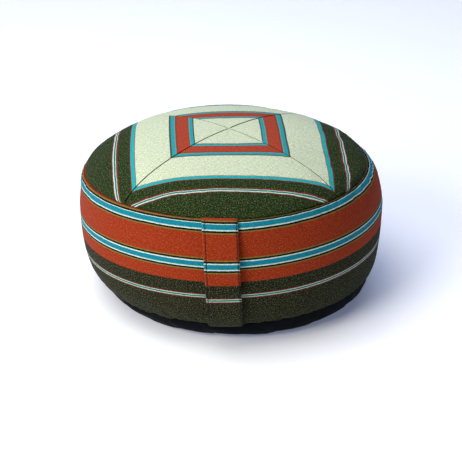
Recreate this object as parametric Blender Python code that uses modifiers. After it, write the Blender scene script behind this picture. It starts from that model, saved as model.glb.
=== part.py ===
"""Round meditation cushion: a filled side band, four mitred top quarters, a bottom panel and a carry strap.

Metres, +Z up, the front towards -Y. The form is first worked out even, as newly sewn, from the profile
formulas below, and settle() then moves it to the slightly leaning form that sitting on it has given it.
"""

import math

import bmesh
import bpy

# The whole cushion.
WIDEST_RADIUS = 0.165
CROWN_HEIGHT = 0.1795
COLUMNS_A_QUARTER = 15  # upright columns of faces in each quarter turn

# Cloth, as a doubled and turned-in canvas.
CLOTH = 0.002
CLEARANCE = 0.0004  # between pieces that touch on the real cushion
STRAP_CLOTH = 0.0026

# Top seam, widest line, bottom seam and foot: radius and height of each ring.
TOP_SEAM_RADIUS = 0.1526
TOP_SEAM_HEIGHT = 0.1396
WIDEST_HEIGHT = 0.1010
BOTTOM_SEAM_RADIUS = 0.1475
BOTTOM_SEAM_HEIGHT = 0.0170
FOOT_RADIUS = 0.1200

# How full each stretch of the profile is: the powers of its rounded curve.
CROWN_FULLNESS = (2.24, 0.65)
SHOULDER_FULLNESS = (1.10, 0.45)
LOWER_SIDE_FULLNESS = (2.60, 0.61)
UNDERSIDE_FULLNESS = (2.60, 0.50)

# Where the profile's points lie, as shares of each stretch.
CROWN_SHARES = (0.0, 0.15, 0.32, 0.49, 0.65, 0.79, 0.89, 0.96, 1.0)
SHOULDER_SHARES = (0.0, 0.05, 0.13, 0.25, 0.40, 0.58, 0.78)
LOWER_SIDE_SHARES = (0.0, 0.20, 0.38, 0.54, 0.68, 0.80, 0.90, 0.96, 1.0)
UNDERSIDE_SHARES = (0.0, 0.10, 0.30, 0.60, 0.85, 1.0)
FLAT_SHARES = (0.66, 0.33, 0.0)

SEAM_HOLD = 0.0006  # the narrow strip beside a seam that moves as the seam does

# How far each ring has moved from round and level: sideways, back, and its rise to the right and to the back.
RING_MOVES = {
    "top_seam": {"right": -0.0061, "back": -0.0007, "rise_right": 0.0048, "rise_back": -0.0072},
    "widest": {"right": 0.0000, "back": 0.0000, "rise_right": 0.0000, "rise_back": 0.0048},
    "bottom_seam": {"right": 0.0068, "back": 0.0013, "rise_right": 0.0049, "rise_back": -0.0060},
    "foot": {"right": 0.0080, "back": -0.0010, "rise_right": 0.0000, "rise_back": 0.0000},
}

# The four mitre seams over the crown: the turn of the pattern, and the shallow trough that each seam draws.
PATTERN_TURN = math.radians(1.35)
TROUGH_DEPTH = 0.0014
TROUGH_WIDTH = 0.0080

# Carry strap: its width, how far its middle line lies to the right of the cushion's own at its two ends, and
# for each height on the band how far its inner face stands off the band.
STRAP_WIDTH = 0.0355
STRAP_TOP_ACROSS = -0.0120
STRAP_FOOT_ACROSS = -0.0057
STRAP_COLUMNS = 4
STRAP_ROWS_A_STEP = 2
STRAP_EDGE_ROUNDING = 0.0008
STRAP_PATH = (
    {"height": 0.1392, "off": 0.0006},
    {"height": 0.1330, "off": 0.0008},
    {"height": 0.1230, "off": 0.0014},
    {"height": 0.1100, "off": 0.0028},
    {"height": 0.0950, "off": 0.0046},
    {"height": 0.0780, "off": 0.0062},
    {"height": 0.0600, "off": 0.0068},
    {"height": 0.0430, "off": 0.0060},
    {"height": 0.0290, "off": 0.0036},
    {"height": 0.0210, "off": 0.0012},
    {"height": 0.0180, "off": 0.0006},
)

PIECE_COLOURS = {
    "filled_band": (0.402, 0.046, 0.016),
    "top_quarter_front": (0.700, 0.791, 0.618),
    "top_quarter_right": (0.700, 0.791, 0.618),
    "top_quarter_back": (0.700, 0.791, 0.618),
    "top_quarter_left": (0.700, 0.791, 0.618),
    "bottom_panel": (0.007, 0.009, 0.019),
    "carry_strap": (0.402, 0.046, 0.016),
}
CLOTH_ROUGHNESS = 0.9
QUARTER_NAMES = ("top_quarter_front", "top_quarter_right", "top_quarter_back", "top_quarter_left")


# ---------------------------------------------------------------- the even, newly sewn profile


def rounded(share, powers):
    """How far a bulging curve has come back to its edge: 1 at share 0, falling to 0 at share 1."""
    inner, outer = powers
    return max(0.0, 1.0 - share**inner) ** outer


def crown_height(radius):
    """Height of the top cloth's outer face over the floor."""
    rise = CROWN_HEIGHT - TOP_SEAM_HEIGHT
    return TOP_SEAM_HEIGHT + rise * rounded(min(1.0, radius / TOP_SEAM_RADIUS), CROWN_FULLNESS)


def band_radius(height):
    """Radius of the side band's outer face at a height between its two seams."""
    if height >= WIDEST_HEIGHT:
        share = min(1.0, (height - WIDEST_HEIGHT) / (TOP_SEAM_HEIGHT - WIDEST_HEIGHT))
        bulge = rounded(share, SHOULDER_FULLNESS)
        return TOP_SEAM_RADIUS + (WIDEST_RADIUS - TOP_SEAM_RADIUS) * bulge
    share = min(1.0, (WIDEST_HEIGHT - height) / (WIDEST_HEIGHT - BOTTOM_SEAM_HEIGHT))
    bulge = rounded(share, LOWER_SIDE_FULLNESS)
    return BOTTOM_SEAM_RADIUS + (WIDEST_RADIUS - BOTTOM_SEAM_RADIUS) * bulge


def crown_profile():
    """(radius, height) from the middle of the crown out to the top seam."""
    return [(TOP_SEAM_RADIUS * share, crown_height(TOP_SEAM_RADIUS * share)) for share in CROWN_SHARES]


def band_profile():
    """(radius, height) from the top seam down to the bottom seam."""
    upper = TOP_SEAM_HEIGHT - WIDEST_HEIGHT
    lower = WIDEST_HEIGHT - BOTTOM_SEAM_HEIGHT
    heights = [TOP_SEAM_HEIGHT - upper * share for share in SHOULDER_SHARES]
    heights += [WIDEST_HEIGHT - lower * share for share in LOWER_SIDE_SHARES]
    return [(band_radius(height), height) for height in heights]


def underside_profile():
    """(radius, height) from the bottom seam, round under the foot and in over the floor to the middle."""
    reach = BOTTOM_SEAM_RADIUS - FOOT_RADIUS
    points = []
    for share in UNDERSIDE_SHARES:
        radius = FOOT_RADIUS + reach * rounded(share, UNDERSIDE_FULLNESS)
        points.append((radius, BOTTOM_SEAM_HEIGHT * (1.0 - share)))
    points += [(FOOT_RADIUS * share, 0.0) for share in FLAT_SHARES]
    return points


def carried_on(edge, before):
    """The point one clearance past a profile's edge, straight on from the point before it."""
    run = math.dist(edge, before)
    return tuple(e + (e - b) * CLEARANCE / run for e, b in zip(edge, before))


# ---------------------------------------------------------------- the settled form


def ring_shares(radius, height):
    """How much each ring of RING_MOVES carries a point sideways, and how much it lifts it."""
    rise_to_seam = TOP_SEAM_HEIGHT - SEAM_HOLD - WIDEST_HEIGHT
    fall_to_seam = WIDEST_HEIGHT - BOTTOM_SEAM_HEIGHT - SEAM_HOLD
    above = min(1.0, max(0.0, (height - WIDEST_HEIGHT) / rise_to_seam))
    below = min(1.0, max(0.0, (WIDEST_HEIGHT - height) / fall_to_seam))
    drawn_above = 1.0 - rounded(above, SHOULDER_FULLNESS)
    drawn_below = 1.0 - rounded(below, LOWER_SIDE_FULLNESS)
    off_floor = min(1.0, max(0.0, height / BOTTOM_SEAM_HEIGHT))
    with_seam = 1.0 - (1.0 - off_floor) ** 2
    inward_top = min(1.0, radius / TOP_SEAM_RADIUS) ** 2
    inward_base = min(1.0, radius / FOOT_RADIUS) ** 2
    return {
        "top_seam": (drawn_above * inward_top, above * inward_top),
        "widest": (1.0 - drawn_above - drawn_below, 1.0 - above - below),
        "bottom_seam": (drawn_below * with_seam * inward_base, below * off_floor * inward_base),
        "foot": (drawn_below * (1.0 - with_seam) * inward_base, 0.0),
    }


def moved(radius, height, way):
    """How far settling moves a point of the even form one way, "right" or "back"."""
    shares = ring_shares(radius, height)
    return sum(sideways * RING_MOVES[ring][way] for ring, (sideways, _) in shares.items())


def trough(x, y):
    """Depth that the nearest mitre seam draws the crown down by."""
    radius = math.hypot(x, y)
    if radius >= TOP_SEAM_RADIUS:
        return 0.0
    from_seam = (math.atan2(y, x) - PATTERN_TURN - math.pi / 4) % (math.pi / 2)
    off_line = radius * math.sin(min(from_seam, math.pi / 2 - from_seam))
    held_at_rim = 1.0 - (radius / TOP_SEAM_RADIUS) ** 6
    return TROUGH_DEPTH * held_at_rim * math.exp(-((off_line / TROUGH_WIDTH) ** 2))


def settle(point):
    """Where a point of the even form lies once the filling has settled."""
    x, y, z = point
    radius = math.hypot(x, y)
    to_right, to_back = (x / radius, y / radius) if radius > 0.0 else (0.0, 0.0)
    lift = -trough(x, y) if z > TOP_SEAM_HEIGHT else 0.0
    for ring, (_, lifted) in ring_shares(radius, z).items():
        move = RING_MOVES[ring]
        lift += lifted * (move["rise_right"] * to_right + move["rise_back"] * to_back)
    return (x + moved(radius, z, "right"), y + moved(radius, z, "back"), z + lift)


# ---------------------------------------------------------------- building


def clear_scene():
    for obj in list(bpy.data.objects):
        bpy.data.objects.remove(obj)


def turned(profile, start, sweep, columns, shift=(0.0, 0.0)):
    """A settled open surface: the profile turned about the middle line from one bearing through a sweep."""
    outline = bpy.data.meshes.new("profile")
    points = [(radius, 0.0, height) for radius, height in profile]
    outline.from_pydata(points, [(i, i + 1) for i in range(len(points) - 1)], [])
    lathe = bpy.data.objects.new("lathe", outline)
    bpy.context.scene.collection.objects.link(lathe)
    screw = lathe.modifiers.new("turn", "SCREW")
    screw.angle = sweep
    screw.steps = columns
    screw.render_steps = columns
    screw.use_merge_vertices = True
    screw.merge_threshold = 0.00001
    evaluated = lathe.evaluated_get(bpy.context.evaluated_depsgraph_get())
    mesh = bpy.data.meshes.new_from_object(evaluated)
    bpy.data.objects.remove(lathe)
    for vertex in mesh.vertices:
        x, y, z = vertex.co
        along = x * math.cos(start) - y * math.sin(start) + shift[0]
        across = x * math.sin(start) + y * math.cos(start) + shift[1]
        vertex.co = settle((along, across, z))
    mesh.update()
    return mesh


def sunk(mesh, depth):
    """The same surface moved inward along its own normals."""
    places = [vertex.co - vertex.normal * depth for vertex in mesh.vertices]
    for vertex, place in zip(mesh.vertices, places):
        vertex.co = place
    return mesh


def cloth_material(name):
    material = bpy.data.materials.new(name + "_cloth")
    material.use_nodes = True
    shader = material.node_tree.nodes["Principled BSDF"]
    shader.inputs["Base Color"].default_value = (*PIECE_COLOURS[name], 1.0)
    shader.inputs["Roughness"].default_value = CLOTH_ROUGHNESS
    shader.inputs["Metallic"].default_value = 0.0
    return material


def piece(name, mesh, collection):
    obj = bpy.data.objects.new(name, mesh)
    mesh.name = name
    mesh.materials.clear()
    mesh.materials.append(cloth_material(name))
    mesh.shade_smooth()
    collection.objects.link(obj)
    return obj


def thicken(obj, thickness, outward):
    """Gives a surface its cloth thickness, inward or outward from where it lies."""
    solidify = obj.modifiers.new("cloth", "SOLIDIFY")
    solidify.thickness = thickness
    solidify.offset = 1.0 if outward else -1.0


def make_top_quarters(collection):
    """Four quarter rounds, each moved out along its middle line by enough to part it from its neighbours."""
    apart = CLEARANCE / math.sqrt(2)
    for turn, name in enumerate(QUARTER_NAMES):
        middle = PATTERN_TURN + (turn - 1) * math.pi / 2
        shift = (apart * math.cos(middle), apart * math.sin(middle))
        mesh = turned(crown_profile(), middle - math.pi / 4, math.pi / 2, COLUMNS_A_QUARTER, shift)
        thicken(piece(name, mesh, collection), CLOTH, outward=False)


def make_bottom_panel(collection):
    mesh = turned(underside_profile(), PATTERN_TURN + math.pi / 4, math.tau, 4 * COLUMNS_A_QUARTER)
    thicken(piece("bottom_panel", mesh, collection), CLOTH, outward=False)


def make_filled_band(collection):
    """The filled cushion: its side is the band, and its top and underside lie just within the other cloths."""
    crown = crown_profile()
    crown.append(carried_on(crown[-1], crown[-2]))
    side = band_profile()
    side[0] = crown[-1]
    under = underside_profile()
    under.insert(0, carried_on(under[0], under[1]))
    side[-1] = under[0]
    start = PATTERN_TURN + math.pi / 4
    columns = 4 * COLUMNS_A_QUARTER
    joined = bmesh.new()
    joined.from_mesh(sunk(turned(crown, start, math.tau, columns), CLOTH + CLEARANCE))
    joined.from_mesh(turned(side, start, math.tau, columns))
    joined.from_mesh(sunk(turned(under, start, math.tau, columns), CLOTH + CLEARANCE))
    rims = [edge for edge in joined.edges if edge.is_boundary]
    waist = WIDEST_HEIGHT
    for rim in (
        [edge for edge in rims if edge.verts[0].co.z > waist],
        [edge for edge in rims if edge.verts[0].co.z < waist],
    ):
        bmesh.ops.bridge_loops(joined, edges=rim)
    bmesh.ops.recalc_face_normals(joined, faces=joined.faces)
    mesh = bpy.data.meshes.new("filled_band")
    joined.to_mesh(mesh)
    joined.free()
    piece("filled_band", mesh, collection)


def strap_stations():
    """The strap's path, with rows eased in between the rows of its table."""
    stations = []
    for lower, upper in zip(STRAP_PATH, STRAP_PATH[1:]):
        for step in range(STRAP_ROWS_A_STEP):
            share = step / STRAP_ROWS_A_STEP
            stations.append({key: lower[key] + (upper[key] - lower[key]) * share for key in lower})
    stations.append(STRAP_PATH[-1])
    return stations


def strap_across(height):
    """How far right the strap's middle line lies on the even form, so that it ends up straight once settled."""
    share = (TOP_SEAM_HEIGHT - height) / (TOP_SEAM_HEIGHT - BOTTOM_SEAM_HEIGHT)
    straight = STRAP_TOP_ACROSS + (STRAP_FOOT_ACROSS - STRAP_TOP_ACROSS) * share
    return straight - moved(band_radius(height), height, "right")


def make_carry_strap(collection):
    """A folded strip at the front of the band: round with it at its sewn ends, flat where it stands well off."""
    stations = strap_stations()
    furthest_off = max(station["off"] for station in stations)
    strip = bmesh.new()
    bmesh.ops.create_grid(strip, x_segments=STRAP_COLUMNS, y_segments=len(stations) - 1, size=1.0)
    for vertex in strip.verts:
        row = round((1.0 - vertex.co.y) / 2.0 * (len(stations) - 1))
        station = stations[row]
        reach = band_radius(station["height"]) + station["off"]
        middle = strap_across(station["height"])
        across = middle + vertex.co.x * STRAP_WIDTH / 2.0
        wrapped = math.sqrt(reach**2 - across**2)
        flat = math.sqrt(reach**2 - middle**2)
        forward = wrapped + (flat - wrapped) * station["off"] / furthest_off
        vertex.co = settle((across, -forward, station["height"]))
    bmesh.ops.recalc_face_normals(strip, faces=strip.faces)
    if sum(face.normal.y for face in strip.faces) > 0.0:
        bmesh.ops.reverse_faces(strip, faces=strip.faces)
    mesh = bpy.data.meshes.new("carry_strap")
    strip.to_mesh(mesh)
    strip.free()
    obj = piece("carry_strap", mesh, collection)
    thicken(obj, STRAP_CLOTH, outward=True)
    rounding = obj.modifiers.new("folded edges", "BEVEL")
    rounding.width = STRAP_EDGE_ROUNDING
    rounding.segments = 1
    rounding.limit_method = "ANGLE"


def stand_over_origin(collection):
    """Moves every piece alike, so that the middle of the whole cushion's box is over the origin."""
    graph = bpy.context.evaluated_depsgraph_get()
    corners = []
    for obj in collection.objects:
        corners += [vertex.co.copy() for vertex in obj.evaluated_get(graph).data.vertices]
    middle_x = (min(c.x for c in corners) + max(c.x for c in corners)) / 2.0
    middle_y = (min(c.y for c in corners) + max(c.y for c in corners)) / 2.0
    for obj in collection.objects:
        obj.location = (-middle_x, -middle_y, 0.0)


def main():
    clear_scene()
    collection = bpy.data.collections.new("meditation_cushion")
    bpy.context.scene.collection.children.link(collection)
    make_filled_band(collection)
    make_top_quarters(collection)
    make_bottom_panel(collection)
    make_carry_strap(collection)
    stand_over_origin(collection)


main()
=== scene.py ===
import math

import bmesh
import bpy
import numpy as np
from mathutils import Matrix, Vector


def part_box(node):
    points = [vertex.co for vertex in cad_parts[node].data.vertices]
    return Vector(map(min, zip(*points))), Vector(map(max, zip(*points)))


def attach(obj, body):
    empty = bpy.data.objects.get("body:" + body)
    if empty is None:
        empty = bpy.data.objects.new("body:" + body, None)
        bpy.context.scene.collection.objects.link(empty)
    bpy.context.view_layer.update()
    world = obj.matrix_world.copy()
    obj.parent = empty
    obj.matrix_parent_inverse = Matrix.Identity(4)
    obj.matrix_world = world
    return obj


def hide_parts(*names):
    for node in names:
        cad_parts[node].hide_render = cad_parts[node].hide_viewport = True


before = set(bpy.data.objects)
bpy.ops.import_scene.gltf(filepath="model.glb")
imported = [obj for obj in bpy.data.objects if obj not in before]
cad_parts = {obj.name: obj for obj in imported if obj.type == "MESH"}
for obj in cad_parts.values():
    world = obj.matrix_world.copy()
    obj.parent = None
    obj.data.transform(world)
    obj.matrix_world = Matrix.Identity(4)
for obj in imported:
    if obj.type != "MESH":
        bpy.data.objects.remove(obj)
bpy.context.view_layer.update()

# Round meditation cushion in handwoven striped cotton canvas. Metres, +Z up, the front towards -Y.
# Azimuths run from +X towards +Y. The form is the one that the solids have, drawn finer, with its seams
# turned in, its cloth gathered at them, and each piece's stripes laid in that cloth's own coordinates.

BODY = "root"
MM = 0.001

# ---------------------------------------------------------------- sizes of the form

CROWN_HEIGHT = 0.1795
WIDEST_RADIUS = 0.165

# How full each stretch of the profile is: the powers of its rounded curve.
CROWN_FULLNESS = (2.24, 0.65)
SHOULDER_FULLNESS = (1.00, 0.433)
LOWER_SIDE_FULLNESS = (2.67, 0.61)
UNDERSIDE_FULLNESS = (2.60, 0.50)

# Each ring's mean size, and how far it waves from it: times round, cosine part, sine part.
TOP_SEAM = {
    "radius": 0.1526, "radius_waves": ((1, -0.0061, -0.0007), (2, -0.0004, -0.0012)),
    "height": 0.1396, "height_waves": ((1, 0.0048, -0.0072), (2, -0.0003, 0.0010), (3, 0.0006, 0.0)),
}
# The top cloth swells over its seam, which shows lower than on the even form, most of all by the strap.
SEAM_DIP = (1.05 * MM, 0.35 * MM)  # mean, and how much deeper at the right
STRAP_DIP = {"azimuth": -88.0, "width": 18.0, "depth": 1.4 * MM}
WIDEST = {"height": 0.1015, "height_waves": ((1, 0.0, 0.0048),)}
BOTTOM_SEAM = {
    "radius": 0.1475, "radius_waves": ((1, 0.0068, 0.0013),),
    "height": 0.0170, "height_waves": ((1, 0.0049, -0.0060),),
}
FOOT = {"radius": 0.1200, "radius_waves": ((1, 0.0080, -0.0010),)}

# The widest ring is round, so the middle of the solid band's box is the middle that azimuths turn about.
band_low, band_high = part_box("filled_band")
MIDDLE = ((band_low[0] + band_high[0]) / 2, (band_low[1] + band_high[1]) / 2)

# The mitre seams of the crown. Their crossing lies a little off the middle.
PATTERN_TURN = math.radians(1.354)
CROSSING = (-0.0024, -0.0001)
SEAM_TURNS = (-0.0056, -0.0099, 0.0006, 0.0013)  # front left, front right, back right, back left
SEAM_GROOVES = (0.9 * MM, 0.8 * MM, 0.9 * MM, 0.8 * MM)  # how wide each of them rounds over
SEAM_SLITS = (0.50 * MM, 0.44 * MM, 0.62 * MM, 0.44 * MM)  # half the dark line between the two cloths
# Painted shade at the mitre seams: how light the cloth is left in the first columns out of each seam, from
# the dark fold, painted near black, to the open face.
SEAM_SHADE_CLEARS = ((0.0, 0.25), (0.0, 0.5), (0.0, 0.0, 0.35), (0.0, 0.5))
TROUGH_DEPTH = 0.3 * MM
TROUGH_WIDTH = 8.0 * MM

# How each quarter's cloth lies under its stripes: turned about the crossing, drawn out, moved outward,
# bowed outward in its middle, and pulled in or out at places across it (place, pull, width, in mm).
QUARTERS = (
    {"name": "top_quarter_front", "turned": -0.0198, "drawn": 0.995, "outward": 1.0 * MM, "bow": 3.1 * MM,
     "pulls": ((-53.0, 1.1, 15.0), (8.0, -0.9, 17.0), (96.0, 1.3, 14.0))},
    {"name": "top_quarter_right", "turned": 0.0245, "drawn": 0.985, "outward": -2.6 * MM, "bow": 0.0,
     "pulls": ((-24.0, 1.5, 15.0), (40.0, -0.7, 14.0), (-88.0, 0.4, 18.0))},
    {"name": "top_quarter_back", "turned": 0.0159, "drawn": 0.980, "outward": -4.4 * MM, "bow": -1.7 * MM,
     "pulls": ()},
    {"name": "top_quarter_left", "turned": 0.0231, "drawn": 1.000, "outward": 1.8 * MM, "bow": 0.0,
     "pulls": ((-50.0, -0.6, 30.0),)},
)

# How much lower than level the band's stripes lie, in mm: all round, towards the right, and then, as (how
# much, azimuth, width in degrees), beside the strap and at the far right, where it grows towards the foot.
BAND_SLIP = {
    "all_round": 0.6, "towards_right": -0.8,
    "beside_strap": ((1.5, -91.0, 20.0), (-0.6, -90.0, 58.0)), "far_right": (4.0, -16.0, 20.0),
}
DIP_IN_BAND = 1.15  # how much of the band's cloth each millimetre of the top seam's dip takes up

# Creases that run in over the crown from the top seam, and gathers along the seams of the band.
CREASES = (
    {"azimuth": -102.5, "depth": 1.1 * MM, "width": 3.4 * MM, "reach": 30.0 * MM},
    {"azimuth": -31.0, "depth": 0.8 * MM, "width": 2.6 * MM, "reach": 24.0 * MM},
    {"azimuth": -21.0, "depth": 1.2 * MM, "width": 3.0 * MM, "reach": 34.0 * MM},
    {"azimuth": -9.0, "depth": 1.1 * MM, "width": 2.6 * MM, "reach": 30.0 * MM},
    {"azimuth": 3.0, "depth": 1.2 * MM, "width": 3.2 * MM, "reach": 36.0 * MM},
    {"azimuth": 17.0, "depth": 0.6 * MM, "width": 2.8 * MM, "reach": 26.0 * MM},
)
GATHERS = (
    {"at": "top", "azimuth": -24.0, "spread": 30.0, "height": 0.7 * MM, "reach": 11.0 * MM,
     "lengths": (14.0 * MM, 9.0 * MM)},
    {"at": "foot", "azimuth": -128.0, "spread": 17.0, "height": 1.2 * MM, "reach": 17.0 * MM,
     "lengths": (24.0 * MM, 14.0 * MM)},
    {"at": "foot", "azimuth": -60.0, "spread": 30.0, "height": 0.4 * MM, "reach": 12.0 * MM,
     "lengths": (20.0 * MM, 12.0 * MM)},
)

CLOTH = 1.4 * MM
BED_DEPTH = 2.4 * MM  # the filled body under the top and bottom cloths
TURNED_EDGE = 1.3 * MM  # radius of the cloth's fold where it turns into the top or bottom seam
EDGE_STEPS = TURNED_EDGE * np.array([0.0, 0.12, 0.3, 0.55, 0.85, 1.3])  # its points' ways in from the seam
BAND_LENGTH = 124.0 * MM  # down the band's cloth, from seam to seam
UNDERSIDE_LENGTH = 22.0 * MM  # in along the bottom cloth, from its seam to the foot

# The carry strap, as the solid one.
STRAP_WIDTH = 35.5 * MM
STRAP_TOP_ACROSS = -0.0120
STRAP_FOOT_ACROSS = -0.0057
STRAP_LAYERS = 2.4 * MM
STRAP_THINNEST = 0.25 * MM
# How far it stands off the band, as (share of the way down the band, stand-off in metres).
STRAP_STAND_OFF = (
    (0.00, 0.0005), (0.05, 0.0022), (0.14, 0.0038), (0.24, 0.0052), (0.36, 0.0064), (0.50, 0.0070),
    (0.65, 0.0073), (0.79, 0.0064), (0.91, 0.0036), (0.975, 0.0012), (1.00, 0.0006),
)
STITCH_LENGTH = 3.3 * MM
STITCH_STEP = 3.6 * MM
STITCH_HALF_WIDTH = 0.5 * MM
STITCH_HALF_HEIGHT = 0.3 * MM
STITCH_LIFT = 0.12 * MM
# Each row's place across the strap, at its top and at its foot.
STITCH_ROWS = ((-14.4 * MM, -16.3 * MM), (16.1 * MM, 16.3 * MM))

# The cover that the cloth simulation fills: shares out to the top seam, down the band, and in to the foot.
COVER_COLUMNS = 260
COVER_CROWN = np.concatenate([np.linspace(0.05, 0.89, 24), [0.92, 0.945, 0.97, 1.0]])
COVER_BAND = np.concatenate([[0.0, 0.027, 0.054], np.linspace(0.085, 0.915, 25), [0.946, 0.973, 1.0]])
COVER_UNDER = np.array([0.0, 0.3, 0.6, 0.85, 1.0, 1.4, 1.9])
COVER_SLACK = 0.06  # the most that its cloth is over-long, at the seams
COVER_GIVE = 2.6 * MM  # the furthest that any point may stand off the even form
COVER_SET_IN = 0.3 * MM  # how far inside the even form it starts
COVER_UNEVEN = 0.08 * MM
COVER_FRAMES = 20
COVER_SEED = 7
COVER_CLOTH = {
    "quality": 5, "mass": 0.01, "tension_stiffness": 100.0, "compression_stiffness": 100.0,
    "shear_stiffness": 20.0, "bending_stiffness": 0.05, "air_damping": 1.0, "tension_damping": 2.0,
    "compression_damping": 2.0, "shear_damping": 2.0, "bending_damping": 0.5, "pin_stiffness": 5.0,
    "use_pressure": True, "uniform_pressure_force": 4.0,
}

# ---------------------------------------------------------------- stripes, in the order they are woven

COLOURS = {
    "cream": "#c2ccaf",
    "teal": "#0c7b8e",
    "inner_teal": "#24919a",
    "outer_teal": "#259da0",
    "orange": "#8e2a0b",
    "top_orange": "#9c3824",
    "green": "#111608",
    "top_green": "#0e2607",
    "white": "#c2d3d0",
    "black": "#0c0d09",
    "olive": "#76682c",
    "moss": "#414c3a",
    "mist": "#6d8a85",
    "brown": "#6e3423",
    "red": "#6d2a1d",
    "leaf": "#12705a",
    "navy": "#06090f",
}
# How much undyed and dark fibre shows in each colour: much in the spun grounds, little in the fine lines.
MELANGE = {"orange": 0.52, "top_orange": 0.4, "green": 0.86, "top_green": 1.0, "cream": 0.5, "navy": 0.0}
LINE_MELANGE = 0.1

# Distance from the crossing, in mm, at which each stripe of the top cloth begins.
TOP_STRIPES = (
    (0.0, "cream"), (35.3, "moss"), (36.6, "inner_teal"), (39.7, "mist"), (40.7, "brown"),
    (41.8, "top_orange"), (54.3, "brown"), (55.4, "mist"), (56.7, "inner_teal"), (60.4, "moss"),
    (62.3, "cream"), (99.4, "red"), (100.6, "outer_teal"), (104.5, "red"), (106.1, "top_green"),
    (119.2, "red"), (120.7, "white"), (121.8, "leaf"), (123.4, "white"), (124.5, "red"),
    (125.9, "top_green"),
)

# Distance down from the top seam, in mm, at which each stripe of the band and strap cloth begins.
BAND_STRIPES = (
    (0.0, "orange"), (1.0, "olive"), (2.2, "black"), (3.9, "white"), (5.0, "teal"), (10.0, "white"),
    (11.1, "black"), (12.8, "olive"), (14.0, "orange"),
    (40.4, "olive"), (41.6, "black"), (43.3, "white"), (44.4, "teal"), (49.9, "white"),
    (51.0, "black"), (52.7, "olive"), (54.0, "orange"),
    (67.3, "green"), (81.7, "red"), (82.8, "white"), (83.7, "leaf"), (85.3, "white"), (86.2, "red"),
    (87.4, "green"),
)
# Painted shade: the filling under the top cloth takes the black stripe, so that the slits of the mitre seams
# show dark.
FILLING_CHART = 3.0 * MM  # in the black stripe, for the filling's faces under the top cloth
UNDERSIDE_CHART = 120.0 * MM  # in the green, for its faces under the bottom panel
STRIPE_WOBBLE = 0.6 * MM  # how much the edges of the stripes wander with the threads
WEAVE_PITCH = 0.9 * MM
STRAP_CLOTH_SHIFT = 1.8 * MM
STRAP_CLOTH_TILT = 1.0 * MM  # how far its stripes rise towards its right edge, at its foot


# ---------------------------------------------------------------- the form


def rounded(share, powers):
    """How far a bulging curve has come back to its edge: 1 at share 0, falling to 0 at share 1."""
    inner, outer = powers
    return np.clip(1.0 - np.clip(share, 0.0, 1.0) ** inner, 0.0, 1.0) ** outer


def ring(of, size, azimuth):
    """A ring's radius or height at an azimuth."""
    waves = of[size + "_waves"]
    mean = of[size] - (seam_dip(azimuth) if of is TOP_SEAM and size == "height" else 0.0)
    return mean + sum(c * np.cos(n * azimuth) + s * np.sin(n * azimuth) for n, c, s in waves)


def near(azimuth, middle, width):
    """1 at an azimuth in degrees, easing to 0 away from it."""
    off = (np.degrees(azimuth) - middle + 180.0) % 360.0 - 180.0
    return np.exp(-((off / width) ** 2))


def seam_dip(azimuth):
    by_strap = STRAP_DIP["depth"] * near(azimuth, STRAP_DIP["azimuth"], STRAP_DIP["width"])
    return SEAM_DIP[0] + SEAM_DIP[1] * np.cos(azimuth) + by_strap


def placed(radius, azimuth, height):
    return np.stack(
        [MIDDLE[0] + radius * np.cos(azimuth), MIDDLE[1] + radius * np.sin(azimuth), height], axis=-1
    )


def along(points):
    """Distance along the rows of a grid of points, from its first row."""
    steps = np.linalg.norm(np.diff(points, axis=0), axis=-1)
    return np.concatenate([np.zeros((1, points.shape[1])), np.cumsum(steps, axis=0)])


def seam_azimuth(number):
    return PATTERN_TURN + math.radians(-135 + 90 * number) + SEAM_TURNS[number % 4]


def trough(x, y, radius_share):
    """Depth that the nearest mitre seam draws the crown down by."""
    turn = np.arctan2(y, x) - PATTERN_TURN - math.pi / 4
    from_seam = np.abs((turn + math.pi / 4) % (math.pi / 2) - math.pi / 4)
    off_line = np.hypot(x, y) * np.sin(from_seam)
    return TROUGH_DEPTH * (1.0 - radius_share**6) * np.exp(-((off_line / TROUGH_WIDTH) ** 2))


def crown(share, azimuth):
    """The top cloth's outer face, share 0 at the crossing to 1 at the top seam, and its troughs' depth."""
    fade = 1.0 - share**2
    reach = ring(TOP_SEAM, "radius", azimuth) * share
    x = reach * np.cos(azimuth) + CROSSING[0] * fade
    y = reach * np.sin(azimuth) + CROSSING[1] * fade
    true_azimuth = np.arctan2(y, x)
    rim = ring(TOP_SEAM, "height", true_azimuth)
    out = np.hypot(x, y) / ring(TOP_SEAM, "radius", true_azimuth)
    out = np.where(share >= 1.0, 1.0, np.minimum(out, 1.0))
    height = rim + (CROWN_HEIGHT - rim) * rounded(out, CROWN_FULLNESS)
    return np.stack([MIDDLE[0] + x, MIDDLE[1] + y, height], axis=-1), trough(x, y, out)


def side_profile(azimuth, count=160):
    """(radius, height) rows down the band, from the top seam to the bottom seam, close together at both."""
    top_radius, top_height = ring(TOP_SEAM, "radius", azimuth), ring(TOP_SEAM, "height", azimuth)
    low_radius, low_height = ring(BOTTOM_SEAM, "radius", azimuth), ring(BOTTOM_SEAM, "height", azimuth)
    waist = ring(WIDEST, "height", azimuth)
    ease = np.sin(np.linspace(0.0, math.pi / 2, count))[:, None] ** 2
    up = 1.0 - ease
    upper = top_radius + (WIDEST_RADIUS - top_radius) * rounded(up, SHOULDER_FULLNESS)
    lower = low_radius + (WIDEST_RADIUS - low_radius) * rounded(ease, LOWER_SIDE_FULLNESS)
    radius = np.concatenate([upper, lower[1:]])
    height = np.concatenate([waist + (top_height - waist) * up, (waist - (waist - low_height) * ease)[1:]])
    return radius, height


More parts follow.
